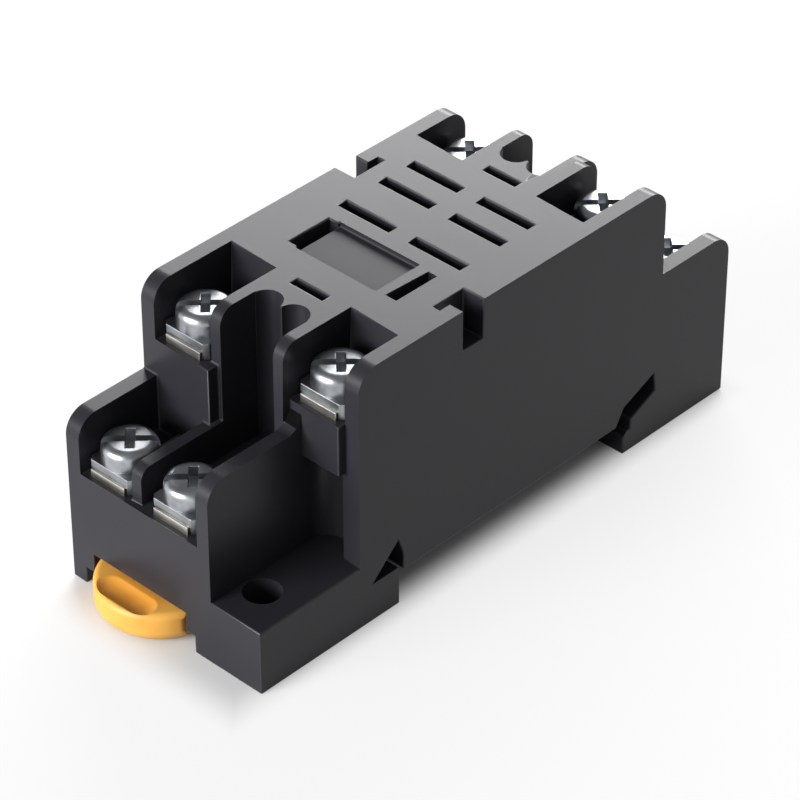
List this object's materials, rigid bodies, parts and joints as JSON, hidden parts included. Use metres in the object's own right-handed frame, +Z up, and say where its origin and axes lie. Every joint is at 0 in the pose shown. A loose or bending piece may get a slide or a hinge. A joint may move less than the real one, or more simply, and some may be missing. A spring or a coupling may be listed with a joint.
{
  "type": "relay socket",
  "caption": "Plug-in relay socket for a 35 mm rail, with screw terminals in two tiers at each end, blade slots on top and a sprung slider that frees it from the rail.",
  "frame": {"origin": "on the rail seat, the underside between the two feet, on the upright centre line of the housing", "axes": "+X across the housing, to the side of the near end's cut-away corner; +Y along the housing, away from the end with the slider; +Z up, to the face that the relay stands on"},
  "size_m": [0.028, 0.0764, 0.0325],
  "materials": {
    "black_plastic": "satin moulded",
    "yellow_plastic": "satin moulded",
    "plated_steel": "bright nickel plate",
    "plated_brass": "tin plate",
    "spring_brass": "plain sheet",
    "spring_wire": "drawn wire"
  },
  "bodies": {
    "socket": {"housing": "black_plastic", "base_plate": "black_plastic", "base_rivet_near": "plated_steel", "base_rivet_far": "plated_steel", "slider_spring": "spring_wire", "terminal_strip_1": "plated_brass", "terminal_strip_2": "plated_brass", "terminal_strip_3": "plated_brass", "terminal_strip_4": "plated_brass", "terminal_strip_5": "plated_brass", "terminal_strip_6": "plated_brass", "terminal_strip_7": "plated_brass", "terminal_strip_8": "plated_brass", "contact_clip_1": "spring_brass", "contact_clip_2": "spring_brass", "contact_clip_3": "spring_brass", "contact_clip_4": "spring_brass", "contact_clip_5": "spring_brass", "contact_clip_6": "spring_brass", "contact_clip_7": "spring_brass", "contact_clip_8": "spring_brass"},
    "rail_latch": {"rail_slider": "yellow_plastic"},
    "clamp_1": {"clamp_plate_1": "plated_steel"},
    "screw_1": {"terminal_screw_1": "plated_steel"},
    "clamp_2": {"clamp_plate_2": "plated_steel"},
    "screw_2": {"terminal_screw_2": "plated_steel"},
    "clamp_3": {"clamp_plate_3": "plated_steel"},
    "screw_3": {"terminal_screw_3": "plated_steel"},
    "clamp_4": {"clamp_plate_4": "plated_steel"},
    "screw_4": {"terminal_screw_4": "plated_steel"},
    "clamp_5": {"clamp_plate_5": "plated_steel"},
    "screw_5": {"terminal_screw_5": "plated_steel"},
    "clamp_6": {"clamp_plate_6": "plated_steel"},
    "screw_6": {"terminal_screw_6": "plated_steel"},
    "clamp_7": {"clamp_plate_7": "plated_steel"},
    "screw_7": {"terminal_screw_7": "plated_steel"},
    "clamp_8": {"clamp_plate_8": "plated_steel"},
    "screw_8": {"terminal_screw_8": "plated_steel"}
  },
  "joints": [
    {"name": "slider_pull", "type": "slide", "parent": "socket", "child": "rail_latch", "axis": [0, -1, 0], "range_m": [0, 0.003], "stiffness_N_per_m": 300, "springref_m": -0.002, "deforming": ["slider_spring"]},
    {"name": "clamp_1_lift", "type": "slide", "parent": "socket", "child": "clamp_1", "axis": [0, 0, 1], "range_m": [0, 0.0026]},
    {"name": "screw_1_turn", "type": "hinge", "parent": "clamp_1", "child": "screw_1", "pos_m": [-0.00865, -0.03225, 0.0111], "axis": [0, 0, 1], "range_deg": [0, 1560]},
    {"name": "clamp_2_lift", "type": "slide", "parent": "socket", "child": "clamp_2", "axis": [0, 0, 1], "range_m": [0, 0.0026]},
    {"name": "screw_2_turn", "type": "hinge", "parent": "clamp_2", "child": "screw_2", "pos_m": [0.0007, -0.03225, 0.0111], "axis": [0, 0, 1], "range_deg": [0, 1560]},
    {"name": "clamp_3_lift", "type": "slide", "parent": "socket", "child": "clamp_3", "axis": [0, 0, 1], "range_m": [0, 0.0026]},
    {"name": "screw_3_turn", "type": "hinge", "parent": "clamp_3", "child": "screw_3", "pos_m": [-0.00865, -0.02105, 0.0224], "axis": [0, 0, 1], "range_deg": [0, 1560]},
    {"name": "clamp_4_lift", "type": "slide", "parent": "socket", "child": "clamp_4", "axis": [0, 0, 1], "range_m": [0, 0.0026]},
    {"name": "screw_4_turn", "type": "hinge", "parent": "clamp_4", "child": "screw_4", "pos_m": [0.00865, -0.01885, 0.0224], "axis": [0, 0, 1], "range_deg": [0, 1560]},
    {"name": "clamp_5_lift", "type": "slide", "parent": "socket", "child": "clamp_5", "axis": [0, 0, 1], "range_m": [0, 0.0026]},
    {"name": "screw_5_turn", "type": "hinge", "parent": "clamp_5", "child": "screw_5", "pos_m": [0.00865, 0.03225, 0.0111], "axis": [0, 0, 1], "range_deg": [0, 1560]},
    {"name": "clamp_6_lift", "type": "slide", "parent": "socket", "child": "clamp_6", "axis": [0, 0, 1], "range_m": [0, 0.0026]},
    {"name": "screw_6_turn", "type": "hinge", "parent": "clamp_6", "child": "screw_6", "pos_m": [-0.0007, 0.03225, 0.0111], "axis": [0, 0, 1], "range_deg": [0, 1560]},
    {"name": "clamp_7_lift", "type": "slide", "parent": "socket", "child": "clamp_7", "axis": [0, 0, 1], "range_m": [0, 0.0026]},
    {"name": "screw_7_turn", "type": "hinge", "parent": "clamp_7", "child": "screw_7", "pos_m": [0.00865, 0.02105, 0.0224], "axis": [0, 0, 1], "range_deg": [0, 1560]},
    {"name": "clamp_8_lift", "type": "slide", "parent": "socket", "child": "clamp_8", "axis": [0, 0, 1], "range_m": [0, 0.0026]},
    {"name": "screw_8_turn", "type": "hinge", "parent": "clamp_8", "child": "screw_8", "pos_m": [-0.00865, 0.01885, 0.0224], "axis": [0, 0, 1], "range_deg": [0, 1560]}
  ],
  "couplings": [
    {"joint": "screw_1_turn", "follows": "clamp_1_lift", "rad_per_m": 10472},
    {"joint": "screw_2_turn", "follows": "clamp_2_lift", "rad_per_m": 10472},
    {"joint": "screw_3_turn", "follows": "clamp_3_lift", "rad_per_m": 10472},
    {"joint": "screw_4_turn", "follows": "clamp_4_lift", "rad_per_m": 10472},
    {"joint": "screw_5_turn", "follows": "clamp_5_lift", "rad_per_m": 10472},
    {"joint": "screw_6_turn", "follows": "clamp_6_lift", "rad_per_m": 10472},
    {"joint": "screw_7_turn", "follows": "clamp_7_lift", "rad_per_m": 10472},
    {"joint": "screw_8_turn", "follows": "clamp_8_lift", "rad_per_m": 10472}
  ]
}
